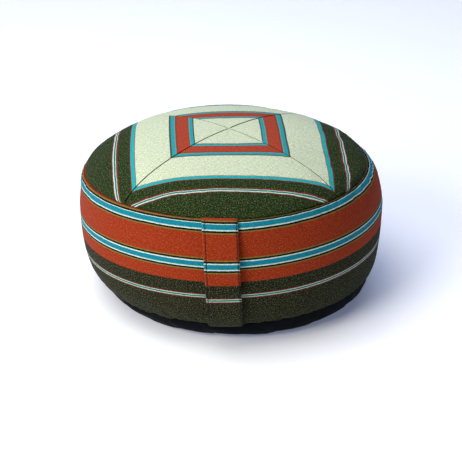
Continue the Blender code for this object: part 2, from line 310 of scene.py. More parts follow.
def side(downs, azimuth):
    """The band's outer face at shares of its length down from the top seam, one row for each share."""
    radius, height = side_profile(azimuth)
    steps = np.hypot(np.diff(radius, axis=0), np.diff(height, axis=0))
    gone = np.concatenate([np.zeros((1, len(azimuth))), np.cumsum(steps, axis=0)])
    rows = np.empty((2, len(downs), len(azimuth)))
    for column in range(len(azimuth)):
        asked = downs * gone[-1, column]
        rows[0, :, column] = np.interp(asked, gone[:, column], radius[:, column])
        rows[1, :, column] = np.interp(asked, gone[:, column], height[:, column])
    return placed(rows[0], azimuth[None, :], rows[1]), downs[:, None] * gone[-1][None, :]


def underside(share, azimuth):
    """The bottom cloth's outer face, share 0 at the bottom seam to 1 at the foot, and 2 at the middle."""
    seam, rise = ring(BOTTOM_SEAM, "radius", azimuth), ring(BOTTOM_SEAM, "height", azimuth)
    foot = ring(FOOT, "radius", azimuth)
    radius = foot + (seam - foot) * rounded(share, UNDERSIDE_FULLNESS)
    radius = np.where(share > 1.0, foot * (2.0 - share), radius)
    height = rise * np.clip(1.0 - share, 0.0, 1.0)
    return placed(radius, azimuth, height)


def turned_in(distance, radius):
    """How deep a fold of this radius sinks a cloth at a distance from its edge."""
    left = np.clip(1.0 - distance / radius, 0.0, 1.0)
    return radius * (1.0 - np.sqrt(1.0 - left**2))


def ripples(along_seam, seed, lengths):
    """Uneven waves about 1 high along a seam, made of a few wavelengths that come and go."""
    chance = np.random.default_rng(seed)
    total = np.zeros_like(along_seam)
    for length in lengths:
        for _ in range(3):
            stretch, phase = chance.uniform(0.8, 1.25), chance.uniform(0.0, math.tau)
            swell_phase = chance.uniform(0.0, math.tau)
            swell = 0.5 + 0.5 * np.sin(along_seam / (4.3 * length) + swell_phase)
            total += swell * np.sin(math.tau * along_seam / (length * stretch) + phase)
    return total / (1.5 * len(lengths))


def normals(points, outward_from):
    """Unit normals of a grid of points, pointing away from a place inside."""
    down = np.gradient(points, axis=0)
    across = np.gradient(points, axis=1)
    found = np.cross(down, across)
    found /= np.maximum(np.linalg.norm(found, axis=-1, keepdims=True), 1e-12)
    inside = np.sum(found * (points - outward_from), axis=-1, keepdims=True) < 0.0
    return np.where(inside, -found, found)


CORE = np.array([MIDDLE[0], MIDDLE[1], 0.08])


# ---------------------------------------------------------------- how the filled cover settles


def held_and_slack(azimuth):
    """For each point of the cover: how firmly a seam holds it, and how over-long its cloth is."""
    top_seam = len(COVER_CROWN) - 1
    bottom_seam = top_seam + len(COVER_BAND) - 1
    rows = bottom_seam + len(COVER_UNDER)
    held, slack = np.zeros((rows, len(azimuth))), np.zeros((rows, len(azimuth)))
    radius = COVER_CROWN[:, None] * TOP_SEAM["radius"]
    for number in range(4):
        off = (azimuth[None, :] - seam_azimuth(number) + math.pi) % math.tau - math.pi
        line = np.exp(-((off * radius / (3.0 * MM)) ** 2))
        held[: top_seam + 1] = np.maximum(held[: top_seam + 1], 0.7 * line)
    held[top_seam] = 1.0
    held[bottom_seam] = 1.0
    held[bottom_seam + 4 :] = 1.0  # it rests on the floor from here in
    in_from_rim = (1.0 - COVER_CROWN[:, None]) * TOP_SEAM["radius"]
    at_right, at_left_foot = near(azimuth, -14.0, 26.0), near(azimuth, -128.0, 22.0)
    slack[: top_seam + 1] = np.exp(-in_from_rim / (30.0 * MM)) * (0.15 + 0.6 * at_right)
    down = COVER_BAND[1:, None] * BAND_LENGTH
    at_top = np.exp(-down / (16.0 * MM)) * (0.2 + 0.8 * near(azimuth, -28.0, 30.0))
    at_foot = np.exp(-(BAND_LENGTH - down) / (30.0 * MM)) * (0.25 + 0.75 * at_left_foot)
    slack[top_seam + 1 : bottom_seam + 1] = at_top + at_foot
    slack[bottom_seam + 1 :] = 0.3
    return held, np.clip(slack, 0.0, 1.0)


def cover_mesh(points):
    """A closed mesh of the cover's rows, with a pole in the middle of its crown and of its underside."""
    rows, columns = points.shape[:2]
    number = np.arange(rows * columns).reshape(rows, columns)
    right = np.roll(number, -1, axis=1)
    quads = np.stack([number[:-1], number[1:], right[1:], right[:-1]], axis=-1).reshape(-1, 4)
    top, low = rows * columns, rows * columns + 1
    fans = [(top, a, b) for a, b in zip(number[0], right[0])]
    fans += [(a, low, b) for a, b in zip(number[-1], right[-1])]
    poles = np.stack([points[0].mean(axis=0), points[-1].mean(axis=0)])
    corners = np.concatenate([points.reshape(-1, 3), poles])
    mesh = bpy.data.meshes.new("cover_trial")
    mesh.from_pydata(corners.tolist(), [], quads.tolist() + [tuple(int(n) for n in fan) for fan in fans])
    return mesh


def add_weights(obj, name, weights):
    """A vertex group of the weights that count, by its name."""
    group = obj.vertex_groups.new(name=name)
    for vertex, weight in enumerate(weights.reshape(-1)):
        if weight > 0.004:
            group.add([vertex], float(weight), "REPLACE")
    return group.name


def even_cover(azimuth):
    """The cover's points before it is filled: down its crown, its band and in under it."""
    turn = np.ones((1, len(azimuth)))
    top, drawn = crown(COVER_CROWN[:, None] * turn, azimuth[None, :])
    top[..., 2] -= drawn
    low = underside(COVER_UNDER[:, None] * turn, azimuth[None, :])
    return np.concatenate([top, side(COVER_BAND, azimuth)[0][1:], low[1:]])


def filled(start, held, slack):
    """Presses a slack cover out from inside with the cloth simulation, and returns its points."""
    mesh = cover_mesh(start)
    obj = bpy.data.objects.new("cover_trial", mesh)
    bpy.context.scene.collection.objects.link(obj)
    poles = np.ones(2)
    held_name = add_weights(obj, "held", np.concatenate([held.reshape(-1), poles]))
    taut_name = add_weights(obj, "taut", np.concatenate([1.0 - slack.reshape(-1), poles]))
    cloth = obj.modifiers.new("filled cover", "CLOTH")
    for setting, value in COVER_CLOTH.items():
        setattr(cloth.settings, setting, value)
    cloth.settings.vertex_group_mass = held_name
    cloth.settings.vertex_group_shrink = taut_name
    cloth.settings.shrink_min = -COVER_SLACK
    cloth.settings.shrink_max = 0.0
    cloth.settings.effector_weights.gravity = 0.0
    cloth.collision_settings.use_collision = False
    scene = bpy.context.scene
    for frame_number in range(1, COVER_FRAMES + 1):
        scene.frame_set(frame_number)
    shaped = obj.evaluated_get(bpy.context.evaluated_depsgraph_get()).to_mesh()
    found = np.empty(len(shaped.vertices) * 3)
    shaped.vertices.foreach_get("co", found)
    scene.frame_set(1)
    bpy.data.objects.remove(obj)
    bpy.data.meshes.remove(mesh)
    return found.reshape(-1, 3)[: -len(poles)].reshape(start.shape)


def settled_cover():
    """How far outward the filling presses each point of the slack cover off its even form."""
    azimuth = np.linspace(0.0, math.tau, COVER_COLUMNS, endpoint=False)
    even = even_cover(azimuth)
    held, slack = held_and_slack(azimuth)
    out = normals(np.concatenate([even[:, -2:], even, even[:, :2]], axis=1), CORE)[:, 2:-2]
    chance = np.random.default_rng(COVER_SEED)
    loose = (1.0 - held) * (COVER_UNEVEN * chance.uniform(-1.0, 1.0, held.shape) - COVER_SET_IN)
    give = np.sum((filled(even + out * loose[..., None], held, slack) - even) * out, axis=-1)
    give -= give.mean(axis=1, keepdims=True)
    return COVER_GIVE * np.tanh(give / COVER_GIVE)


def four_taps(part):
    """Weights of the four neighbours of a smooth curve through evenly spaced values, at a part of a step."""
    return (
        -0.5 * part + part**2 - 0.5 * part**3,
        1.0 - 2.5 * part**2 + 1.5 * part**3,
        0.5 * part + 2.0 * part**2 - 1.5 * part**3,
        -0.5 * part**2 + 0.5 * part**3,
    )


def give_at(give, shares, of_rows, azimuth):
    """The cover's give at shares of one of its stretches and at azimuths, read smoothly off its points."""
    row = np.interp(shares, of_rows, np.arange(len(of_rows)))
    column = azimuth / math.tau * COVER_COLUMNS
    first_row, first_column = np.floor(row).astype(int), np.floor(column).astype(int)
    total = np.zeros(np.broadcast(row, column).shape)
    for row_step, row_weight in enumerate(four_taps(row - first_row)):
        rows = np.clip(first_row + row_step - 1, 0, len(of_rows) - 1)
        for column_step, column_weight in enumerate(four_taps(column - first_column)):
            columns = (first_column + column_step - 1) % COVER_COLUMNS
            total += row_weight * column_weight * give[rows, columns]
    return total


# ---------------------------------------------------------------- making meshes


def cloth_from(name, points, cloth, opened=None):
    """An object from a grid of points, with each point's place in its flat cloth as the UV map "cloth".

    The last argument says how far each point lies out of the shade painted into the mitre seams, from 0,
    painted dark, to 1, left as woven; it becomes a point attribute of the same name.
    """
    rows, columns = points.shape[:2]
    bpy.ops.object.select_all(action="DESELECT")
    bpy.ops.mesh.primitive_grid_add(x_subdivisions=columns - 1, y_subdivisions=rows - 1, calc_uvs=True)
    obj = bpy.context.object
    obj.name = obj.data.name = name
    mesh = obj.data
    mesh.vertices.foreach_set("co", points.reshape(-1))
    corners = np.empty(len(mesh.loops), dtype=np.int32)
    mesh.loops.foreach_get("vertex_index", corners)
    mesh.uv_layers[0].name = "cloth"
    mesh.uv_layers[0].data.foreach_set("uv", cloth.reshape(-1, 2)[corners].reshape(-1))
    if opened is not None:
        mesh.attributes.new("opened", "FLOAT", "POINT").data.foreach_set("value", opened.reshape(-1))
    mesh.update()
    merged = bmesh.new()
    merged.from_mesh(mesh)
    bmesh.ops.remove_doubles(merged, verts=merged.verts, dist=0.000001)
    away = sum(face.normal.dot(face.calc_center_median() - Vector(CORE)) for face in merged.faces)
    if away < 0.0:
        bmesh.ops.reverse_faces(merged, faces=merged.faces)
    merged.to_mesh(mesh)
    merged.free()
    mesh.shade_smooth()
    return obj


def thicken(obj, thickness):
    """Gives a cloth its thickness, inward from its outer face."""
    solid = obj.modifiers.new("cloth thickness", "SOLIDIFY")
    solid.thickness = thickness
    solid.offset = -1.0
    bpy.ops.object.select_all(action="DESELECT")
    bpy.context.view_layer.objects.active = obj
    obj.select_set(True)
    bpy.ops.object.modifier_apply(modifier=solid.name)


def finish_piece(obj, material, node):
    """Gives a piece its material, and lets it stand for its solid."""
    obj.data.materials.clear()
    obj.data.materials.append(material)
    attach(obj, BODY)
    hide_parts(node)


# ---------------------------------------------------------------- pieces


def quarter_grid(number):
    """Shares and azimuths of one quarter's points, in columns that keep close to its two seams."""
    first, last = seam_azimuth(number), seam_azimuth(number + 1)
    groove = max(SEAM_GROOVES)
    near_rim = EDGE_STEPS / TOP_SEAM["radius"]
    shares = np.concatenate([np.linspace(0.004, 0.984, 58) ** 0.9, 1.0 - near_rim[::-1]])
    by_seam = groove * np.array([0.0, 0.1, 0.25, 0.45, 0.7, 1.0, 1.6])
    inner = np.linspace(0.0, 1.0, 60)
    azimuths = np.empty((len(shares), 2 * len(by_seam) + len(inner) - 2))
    for row, share in enumerate(shares):
        radius = share * TOP_SEAM["radius"]
        edge = by_seam * min(1.0, 0.5 * radius / by_seam[-1]) / radius
        slit_first, slit_last = (min(SEAM_SLITS[n % 4] / radius, 0.2) for n in (number, number + 1))
        low, high = first + slit_first + edge, last - slit_last - edge[::-1]
        azimuths[row] = np.concatenate([low[:-1], low[-1] + (high[0] - low[-1]) * inner, high[1:]])
    return np.broadcast_to(shares[:, None], azimuths.shape), azimuths


def seam_sink(number, shares, azimuths):
    """How deep the quarter's two mitre edges and its rim turn in at each point."""
    radius = shares * TOP_SEAM["radius"]
    depth = np.zeros_like(azimuths)
    for seam in (number, number + 1):
        line = seam_azimuth(seam)
        off = np.clip(np.abs(azimuths - line) * radius - SEAM_SLITS[seam % 4], 0.0, None)
        groove = np.minimum(SEAM_GROOVES[seam % 4], 0.3 * radius + 0.0004)
        depth = np.maximum(depth, turned_in(off, groove))
    rim = (1.0 - shares) * TOP_SEAM["radius"]
    return np.maximum(depth, turned_in(rim, TURNED_EDGE))


def creases(shares, azimuths):
    """How deep the crown's creases lie at each of its points."""
    depth = np.zeros_like(azimuths)
    for crease in CREASES:
        off = (azimuths - math.radians(crease["azimuth"]) + math.pi) % math.tau - math.pi
        beside = off * shares * TOP_SEAM["radius"] / crease["width"]
        inward = (1.0 - shares) * TOP_SEAM["radius"] / crease["reach"]
        furrow = np.exp(-(beside**2)) - 0.35 * np.exp(-((beside / 2.4) ** 2))
        depth += crease["depth"] * furrow * np.exp(-(inward**2))
    return depth


def gathered(gone, length, azimuth):
    """How far the band's gathers stand out at each of its points."""
    total = np.zeros_like(gone)
    for number, gather in enumerate(GATHERS):
        from_seam = gone if gather["at"] == "top" else length - gone
        slanted = azimuth * WIDEST_RADIUS + 0.35 * from_seam
        swell = near(azimuth, gather["azimuth"], gather["spread"])
        fade = np.exp(-((from_seam / gather["reach"]) ** 2))
        total += gather["height"] * swell * fade * ripples(slanted, 60 + number, gather["lengths"])
    return total


def band_slip(downs, azimuth):
    """How much lower than level the band's stripes lie, at shares of the way down it and at azimuths."""
    level = BAND_SLIP["all_round"] + BAND_SLIP["towards_right"] * np.cos(azimuth)
    by_strap = sum(much * near(azimuth, middle, width) for much, middle, width in BAND_SLIP["beside_strap"])
    much, middle, width = BAND_SLIP["far_right"]
    far_right = much * near(azimuth, middle, width) * downs**2
    return MM * (level + by_strap * np.clip(2.3 - 3.0 * downs, 0.0, 1.0) + far_right)


def quarter_chart(number, quarter, gone, azimuths):
    """Where a quarter's points lie in its flat cloth: across its middle line, and out from the crossing."""
    angle = azimuths - (PATTERN_TURN + math.radians(-90 + 90 * number) + quarter["turned"])
    across = gone * np.sin(angle)
    outward = gone * np.cos(angle) * quarter["drawn"] - quarter["outward"]
    outward = outward - quarter["bow"] * (1.0 - np.tan(angle) ** 2) * np.clip(1.4 - gone / 0.1, 0.0, 1.0)
    for place, pull, width in quarter["pulls"]:
        near_place = np.exp(-(((across / MM - place) / width) ** 2)) * np.clip(gone / 0.1 - 0.3, 0.0, 1.0)
        outward = outward + pull * MM * near_place
    return np.stack([across, outward], axis=-1)


def make_quarter(number, quarter, give, material):
    shares, azimuths = quarter_grid(number)
    points, drawn = crown(shares, azimuths)
    gone = along(np.concatenate([crown(np.zeros((1, 1)), azimuths[:1])[0], points]))[1:]
    chart = quarter_chart(number, quarter, gone, azimuths)
    points[..., 2] -= drawn
    gather = give_at(give, shares, COVER_CROWN, azimuths)
    sink = seam_sink(number, shares, azimuths) + creases(shares, azimuths)
    points += normals(points, CORE) * (gather - sink)[..., None]
    # Painted shade: the first columns out of each mitre seam are marked to be painted dark.
    first_clear, last_clear = SEAM_SHADE_CLEARS[number % 4], SEAM_SHADE_CLEARS[(number + 1) % 4]
    opened = np.ones_like(shares)
    opened[:, : len(first_clear)] = first_clear
    opened[:, -len(last_clear) :] = last_clear[::-1]
    obj = cloth_from(quarter["name"] + "_cloth", points, chart, opened)
    thicken(obj, CLOTH)
    finish_piece(obj, material, quarter["name"])


def band_rows():
    """Shares down the band, close together at both seams."""
    edge = EDGE_STEPS / BAND_LENGTH
    return np.concatenate([edge, np.linspace(edge[-1] + 0.01, 1 - edge[-1] - 0.01, 70), 1.0 - edge[::-1]])


def filling_under_top(azimuth):
    """The filled body's face under the top cloth, out to the top seam."""
    shares = np.linspace(0.02, 0.985, 16)[:, None]
    bed, drawn = crown(shares * np.ones((1, len(azimuth))), azimuth[None, :])
    bed[..., 2] -= drawn
    bed -= normals(bed, CORE) * BED_DEPTH
    bed[:, -1] = bed[:, 0]
    return bed


def filling_over_bottom(azimuth):
    """The filled body's face over the bottom panel, in from the bottom seam."""
    shares = np.concatenate([np.linspace(0.12, 1.0, 9), np.linspace(1.2, 1.98, 6)])[:, None]
    bed = underside(shares * np.ones((1, len(azimuth))), azimuth[None, :])
    bed -= normals(bed, CORE) * BED_DEPTH
    bed[:, -1] = bed[:, 0]
    return bed


def make_band(give, material, columns=480):
    azimuth = np.linspace(0.0, math.tau, columns + 1)
    downs = band_rows()
    points, gone = side(downs, azimuth)
    length = gone[-1][None, :]
    out = normals(points, CORE)
    out[:, -1] = out[:, 0]
    gathers = give_at(give, downs[:, None], COVER_BAND, azimuth[None, :]) + gathered(gone, length, azimuth)
    gathers[:, -1] = gathers[:, 0]
    sink = np.maximum(turned_in(gone, TURNED_EDGE), turned_in(length - gone, TURNED_EDGE))
    points = points + out * (gathers - sink)[..., None]
    top, low = filling_under_top(azimuth), filling_over_bottom(azimuth)
    poles = [np.broadcast_to(rows.mean(axis=0), (1, columns + 1, 3)) for rows in (top[0], low[-1])]
    everything = np.concatenate([poles[0], top, points, low, poles[1]])
    around = np.broadcast_to(azimuth * WIDEST_RADIUS, everything.shape[:2])
    slip = band_slip(downs[:, None], azimuth[None, :]) - DIP_IN_BAND * seam_dip(azimuth)
    # Painted shade: the filling's faces under the top cloth are black, and show dark in the slits of the
    # mitre seams.
    chart = np.full(everything.shape[:2], FILLING_CHART)
    first = 1 + len(top)
    chart[first : first + len(points)] = gone - slip
    chart[first + len(points) :] = UNDERSIDE_CHART
    obj = cloth_from("side_band_and_filling", everything, np.stack([around, chart], axis=-1))
    finish_piece(obj, material, "filled_band")


def make_bottom(give, material, columns=300):
    azimuth = np.linspace(0.0, math.tau, columns + 1)
    edge = EDGE_STEPS / UNDERSIDE_LENGTH
    shares = np.concatenate([edge, np.linspace(edge[-1] + 0.05, 1.0, 14), np.linspace(1.1, 1.98, 12)])
    shares = shares[:, None]
    points = underside(shares * np.ones((1, columns + 1)), azimuth[None, :])
    gone = along(points)
    gather = give_at(give, shares, COVER_UNDER, azimuth[None, :])
    gather[:, -1] = gather[:, 0]
    out = normals(points, CORE)
    out[:, -1] = out[:, 0]
    points = points + out * (gather - turned_in(gone, TURNED_EDGE))[..., None]
    points[..., 2] = np.maximum(points[..., 2], 0.0)
    pole = np.broadcast_to(points[-1].mean(axis=0), (1, columns + 1, 3))
    points = np.concatenate([points, pole])
    gone = along(points)
    inward = float(np.max(gone)) - gone
    in_cloth = np.stack([inward * np.cos(azimuth), inward * np.sin(azimuth)], axis=-1)
    obj = cloth_from("bottom_panel_cloth", points, in_cloth)
    thicken(obj, CLOTH)
    finish_piece(obj, material, "bottom_panel")


def strap_line(downs, acrosses):
    """Points of the strap's inner face, for shares down the band and distances across the strap."""
    shares, stand_offs = zip(*STRAP_STAND_OFF)
    offs = np.interp(downs, shares, stand_offs)
    points = np.empty((len(downs), len(acrosses), 3))
    for row, (down, off) in enumerate(zip(downs, offs)):
        middle = STRAP_TOP_ACROSS + (STRAP_FOOT_ACROSS - STRAP_TOP_ACROSS) * down
        x = middle + acrosses
        azimuth = -math.pi / 2 + np.arcsin(x / WIDEST_RADIUS)
        for _ in range(4):
            on_band, _ = side(np.array([down]), azimuth)
            radius = np.hypot(on_band[0, :, 0] - MIDDLE[0], on_band[0, :, 1] - MIDDLE[1]) + off
            azimuth = -math.pi / 2 + np.arcsin(x / radius)
        wrapped = np.sqrt(radius**2 - x**2)
        straight = math.sqrt(np.interp(middle, x, radius) ** 2 - middle**2)
        forward = wrapped + (straight - wrapped) * off / max(stand_offs)
        points[row] = np.stack([MIDDLE[0] + x, MIDDLE[1] - forward, on_band[0, :, 2]], axis=-1)
    return points


def strap_thickness(downs, acrosses):
    """The folded strap's thickness: round at both folds, and drawn in along its two rows of stitches."""
    from_edge = STRAP_WIDTH / 2 - np.abs(acrosses)
    full = STRAP_LAYERS * np.sqrt(1.0 - np.clip(1.0 - from_edge / (1.3 * MM), 0.0, 1.0) ** 2)[None, :]
    for top, foot in STITCH_ROWS:
        row = (top + (foot - top) * downs)[:, None]
        full = full - 0.55 * MM * np.exp(-(((acrosses - row) / (0.8 * MM)) ** 2))
    return np.maximum(full, STRAP_THINNEST)


def strap_columns():
    """Places across the strap, close together at its folds."""
    edge = STRAP_WIDTH / 2 - MM * np.array([0.0, 0.15, 0.4, 0.8, 1.3])
    return np.concatenate([-edge, np.linspace(-edge[-1] + 0.0005, edge[-1] - 0.0005, 44), edge[::-1]])


def make_strap(material, thread):
    near_top, near_foot = [0.0, 0.004, 0.01], [0.982, 0.988, 0.993, 0.997, 1.0]
    downs = np.concatenate([near_top, np.linspace(0.02, 0.975, 118), near_foot])
    acrosses = strap_columns()
    inner = strap_line(downs, acrosses)
    out = normals(inner, CORE)
    # Its foot goes into the bottom seam with the band's edge, pressed thin there.
    from_foot = along(inner[::-1])[::-1]
    turned = turned_in(from_foot, TURNED_EDGE)
    outer_lift = strap_thickness(downs, acrosses) - turned_in(from_foot, STRAP_LAYERS)
    outer = inner + out * np.maximum(outer_lift, STRAP_THINNEST - turned)[..., None]
    inner = inner - out * turned[..., None]
    middle_line = (inner + outer) / 2
    gone = along(middle_line)
    wide = np.broadcast_to(acrosses, gone.shape)
    tilt = STRAP_CLOTH_TILT * downs[:, None] * wide / (STRAP_WIDTH / 2)
    front = np.stack([wide, gone - STRAP_CLOTH_SHIFT + tilt], axis=-1)
    obj = cloth_from("carry_strap_cloth", outer, front)
    back = cloth_from("strap_back", inner, front)
    bridge_sheets(obj, back)
    finish_piece(obj, material, "carry_strap")
    make_stitches(outer, out, gone, acrosses, thread)


def bridge_sheets(front, back):
    """Joins a back sheet to a front one round their rims, as one closed piece."""
    bpy.ops.object.select_all(action="DESELECT")
    back.data.flip_normals()
    back.select_set(True)
    front.select_set(True)
    bpy.context.view_layer.objects.active = front
    bpy.ops.object.join()
    bpy.ops.object.mode_set(mode="EDIT")
    bpy.ops.mesh.select_mode(type="EDGE")
    bpy.ops.mesh.select_all(action="DESELECT")
    bpy.ops.mesh.select_non_manifold()
    bpy.ops.mesh.bridge_edge_loops()
    bpy.ops.mesh.select_all(action="SELECT")
    bpy.ops.mesh.normals_make_consistent(inside=False)
    bpy.ops.object.mode_set(mode="OBJECT")
    front.data.shade_smooth()


def make_stitches(outer, out, gone, acrosses, material):
    """Two rows of topstitching in a dark thread, each stitch a short rounded bar sunk into the cloth."""
    bars = bmesh.new()
    middle = len(acrosses) // 2
    length = float(gone[-1, middle])
    for top, foot in STITCH_ROWS:
        at = 2.0 * MM
        while at + STITCH_LENGTH < length - 2.0 * MM:
            spots = [(top + (foot - top) * down / length, down) for down in (at, at + STITCH_LENGTH)]
            ends = [surface_at(outer, out, gone, acrosses, *spot) for spot in spots]
            add_stitch(bars, ends)
            at += STITCH_STEP
    mesh = bpy.data.meshes.new("strap_topstitching")
    bars.to_mesh(mesh)
    bars.free()
    obj = bpy.data.objects.new("strap_topstitching", mesh)
    bpy.context.scene.collection.objects.link(obj)
    mesh.shade_smooth()
    mesh.materials.append(material)
    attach(obj, BODY)


def surface_at(points, out, gone, acrosses, across, down):
    """A point and its normal on the strap, at a distance across it and down it."""
    columns, axes = range(len(acrosses)), range(3)
    found = []
    for field in (points, out):
        by_axis = [[np.interp(down, gone[:, c], field[:, c, axis]) for c in columns] for axis in axes]
        found.append(np.array([np.interp(across, acrosses, row) for row in by_axis]))
    return found


def add_stitch(bars, ends):
    """One stitch: a ball drawn out between its two ends and pressed down on the cloth."""
    (start, normal), (stop, _) = ends
    run = stop - start
    length = np.linalg.norm(run)
    run = run / length
    side_way = np.cross(normal, run)
    made = bmesh.ops.create_uvsphere(bars, u_segments=8, v_segments=6, radius=1.0)["verts"]
    for vertex in made:
        x, y, z = vertex.co
        spot = (start + stop) / 2 + run * (z * length / 2) + side_way * (x * STITCH_HALF_WIDTH)
        vertex.co = spot + normal * (y * STITCH_HALF_HEIGHT + STITCH_LIFT)


# ---------------------------------------------------------------- materials


def linear(hex_colour):
    """An sRGB hex colour as linear red, green, blue and alpha."""
    channels = [int(hex_colour[i : i + 2], 16) / 255 for i in (1, 3, 5)]
    return tuple(c / 12.92 if c <= 0.04045 else ((c + 0.055) / 1.055) ** 2.4 for c in channels) + (1.0,)


def add_node(tree, kind, links=(), inputs=(), **settings):
    """Adds one node, with its settings, its input values, and links into it as (socket, from socket)."""
    node = tree.nodes.new(kind)
    for key, value in settings.items():
        setattr(node, key, value)
    for socket, value in inputs:
        node.inputs[socket].default_value = value
    for socket, source in links:
        tree.links.new(source, node.inputs[socket])
    return node


def stripe_ramp(tree, stripes, span, source):
    """A ramp with each stripe's colour, and in its alpha how much melange that stripe shows."""
    ramp = add_node(tree, "ShaderNodeValToRGB", links=[("Fac", source)])
    ramp.color_ramp.interpolation = "CONSTANT"
    elements = ramp.color_ramp.elements
    while len(elements) > len(stripes):
        elements.remove(elements[-1])
    while len(elements) < len(stripes):
        elements.new(1.0)
    for element, (start, colour) in zip(elements, stripes):
        element.position = start * MM / span
        element.color = linear(COLOURS[colour])[:3] + (MELANGE.get(colour, LINE_MELANGE),)
    return ramp.outputs


def new_material(name, roughness, gloss):
    """A material with its node tree and its shader."""
    material = bpy.data.materials.new(name)
    material.use_nodes = True
    shader = material.node_tree.nodes["Principled BSDF"]
    shader.inputs["Roughness"].default_value = roughness
    shader.inputs["Specular IOR Level"].default_value = gloss
    return material, material.node_tree, shader


def stripe_chart(tree, in_mm, down_cloth, stripes, span):
    """The stripes' colour and melange down the cloth, their edges wandering a little."""
    wander = add_node(
        tree, "ShaderNodeTexNoise", links=[("Vector", in_mm)], inputs=[("Scale", 0.3), ("Detail", 2.0)]
    )
    moved = add_node(
        tree, "ShaderNodeMath", operation="MULTIPLY_ADD",
        links=[(0, wander.outputs["Fac"]), (2, down_cloth)], inputs=[(1, STRIPE_WOBBLE)],
    )
    share = add_node(
        tree, "ShaderNodeMath", operation="MULTIPLY_ADD",
        links=[(0, moved.outputs["Value"])], inputs=[(1, 1.0 / span), (2, -STRIPE_WOBBLE / 2 / span)],
    )
    return stripe_ramp(tree, stripes, span, share.outputs["Value"])


def uneven_threads(tree, in_mm):
    """Thin weft along the stripes and warp across them, each a little uneven."""
    threads = []
    for stretch in ((0.30, 1.5, 1.0), (1.5, 0.30, 1.0)):
        turned = add_node(
            tree, "ShaderNodeVectorMath", operation="MULTIPLY", links=[(0, in_mm)], inputs=[(1, stretch)]
        )
        threads.append(add_node(
            tree, "ShaderNodeTexNoise", links=[("Vector", turned.outputs["Vector"])],
            inputs=[("Scale", 1.0), ("Detail", 2.0), ("Roughness", 0.6)],
        ).outputs["Fac"])
    return add_node(tree, "ShaderNodeMath", operation="ADD", links=enumerate(threads)).outputs["Value"]


def with_thread_tone(tree, colour, woven):
    """The dyed colour, a little lighter and darker from thread to thread."""
    lightness = add_node(
        tree, "ShaderNodeMapRange", clamp=False, links=[("Value", woven)],
        inputs=[("From Min", 0.6), ("From Max", 1.4), ("To Min", 0.5), ("To Max", 1.5)],
    )
    return add_node(
        tree, "ShaderNodeVectorMath", operation="SCALE",
        links=[(0, colour), ("Scale", lightness.outputs["Result"])],
    ).outputs["Vector"]


def with_melange(tree, colour, in_mm, spun):
    """Pale undyed fibre spun in, which shows most on the dark stripes.

    Its real grain is under half a millimetre. It is drawn a little over a millimetre coarse to show.
    """
    fibre = add_node(
        tree, "ShaderNodeTexNoise", links=[("Vector", in_mm)],
        inputs=[("Scale", 0.78), ("Detail", 2.0), ("Roughness", 0.65)],
    )
    pale = add_node(
        tree, "ShaderNodeMapRange", links=[("Value", fibre.outputs["Fac"])],
        inputs=[("From Min", 0.52), ("From Max", 0.76), ("To Min", 0.0), ("To Max", 0.5)],
    )
    amount = add_node(
        tree, "ShaderNodeMath", operation="MULTIPLY", links=[(0, pale.outputs["Result"]), (1, spun)]
    )
    return add_node(
        tree, "ShaderNodeMix", data_type="RGBA", blend_type="ADD",
        links=[(0, amount.outputs["Value"]), (6, colour)], inputs=[(7, linear("#a9a777"))],
    ).outputs[2]


def with_slubs(tree, colour, in_mm, spun):
    """Sparse specks of undyed and of dark fibre, under a millimetre across."""
    specks = add_node(
        tree, "ShaderNodeTexVoronoi", links=[("Vector", in_mm)],
        inputs=[("Scale", 0.75), ("Randomness", 1.0)],
    )
    chance = add_node(tree, "ShaderNodeSeparateColor", links=[("Color", specks.outputs["Color"])])
    small = add_node(
        tree, "ShaderNodeMath", operation="LESS_THAN", links=[(0, specks.outputs["Distance"])],
        inputs=[(1, 0.36)],
    ).outputs["Value"]
    for kept, limit, tint, strength in (
        ("GREATER_THAN", 0.95, "#c9b987", 0.15), ("LESS_THAN", 0.06, "#2c2c20", 0.5)
    ):
        amount = add_node(
            tree, "ShaderNodeMath", operation=kept, links=[(0, chance.outputs["Red"])], inputs=[(1, limit)]
        )
        for factor in (small, spun):
            amount = add_node(
                tree, "ShaderNodeMath", operation="MULTIPLY",
                links=[(0, amount.outputs["Value"]), (1, factor)],
            )
        amount = add_node(
            tree, "ShaderNodeMath", operation="MULTIPLY", links=[(0, amount.outputs["Value"])],
            inputs=[(1, strength)],
        )
        colour = add_node(
            tree, "ShaderNodeMix", data_type="RGBA",
            links=[(0, amount.outputs["Value"]), (6, colour)], inputs=[(7, linear(tint))],
        ).outputs[2]
    return colour


def with_painted_seam_shade(tree, colour):
    """Painted shade: the cloth turned into the mitre seams is painted near black, for the shade in them."""
    opened = add_node(tree, "ShaderNodeAttribute", attribute_name="opened").outputs["Fac"]
    return add_node(
        tree, "ShaderNodeMix", data_type="RGBA", links=[(0, opened), (7, colour)],
        inputs=[(6, linear("#0b0c09"))],
    ).outputs[2]


def weave_bump(tree, parts, woven):
    """Plain weave: threads go over and under each other, a little proud where they are thick."""
    waves = []
    for axis in ("X", "Y"):
        turned = add_node(
            tree, "ShaderNodeMath", operation="MULTIPLY", links=[(0, parts.outputs[axis])],
            inputs=[(1, math.tau / WEAVE_PITCH)],
        )
        wave = add_node(tree, "ShaderNodeMath", operation="SINE", links=[(0, turned.outputs["Value"])])
        waves.append(wave.outputs["Value"])
    over = add_node(tree, "ShaderNodeMath", operation="MULTIPLY", links=enumerate(waves))
    height = add_node(
        tree, "ShaderNodeMath", operation="MULTIPLY_ADD",
        links=[(0, woven), (2, over.outputs["Value"])], inputs=[(1, 3.0)],
    )
    return add_node(
        tree, "ShaderNodeBump", links=[("Height", height.outputs["Value"])],
        inputs=[("Strength", 0.35), ("Distance", 0.12 * MM)],
    ).outputs["Normal"]


